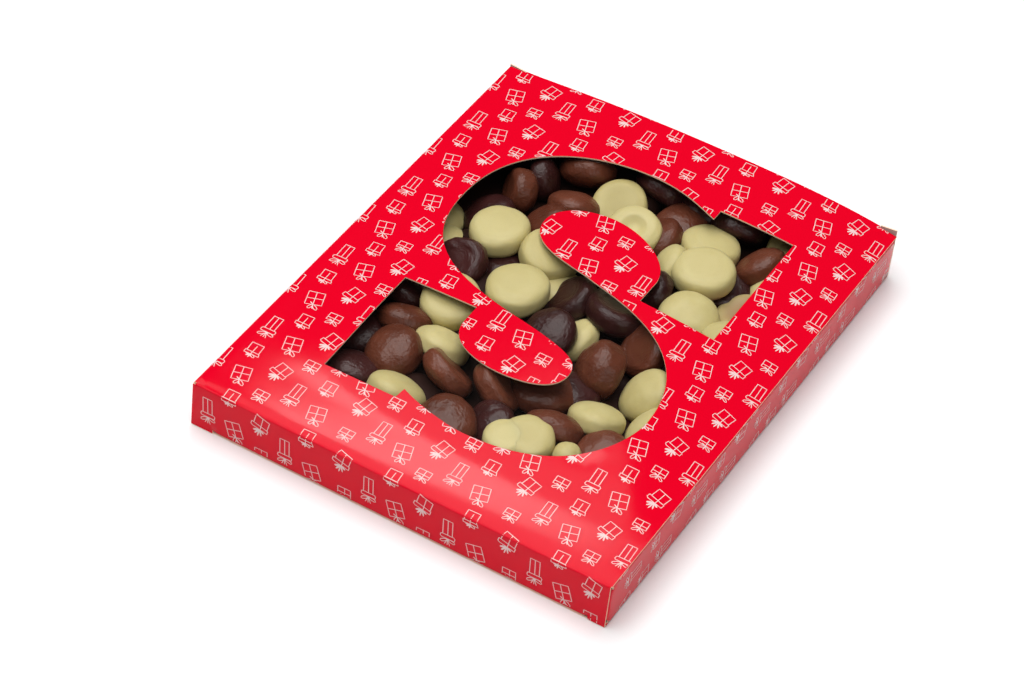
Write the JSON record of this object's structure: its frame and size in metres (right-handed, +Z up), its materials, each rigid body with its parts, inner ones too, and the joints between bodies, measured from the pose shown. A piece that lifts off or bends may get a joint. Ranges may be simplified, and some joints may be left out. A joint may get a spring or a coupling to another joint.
{
  "type": "letter window box of chocolate sweets",
  "caption": "Flat shut gift carton with a slab letter S window behind clear film, filled with round chocolate-coated biscuit sweets; lies flat to show or give.",
  "frame": {"origin": "middle of the base, on the surface the carton lies on", "axes": "+X to the right along the front edge, +Y from the front to the back along the length, +Z up through the window"},
  "size_m": [0.15, 0.195, 0.0217],
  "materials": {
    "card": "glossy varnished red print outside, bare grey-beige inside, cream raw edges",
    "film": "thin clear film",
    "chocolate": "satin chocolate, in white, milk and dark"
  },
  "bodies": {
    "root": {"carton": "card", "window_film": "film", "sweets": "chocolate"}
  },
  "joints": []
}
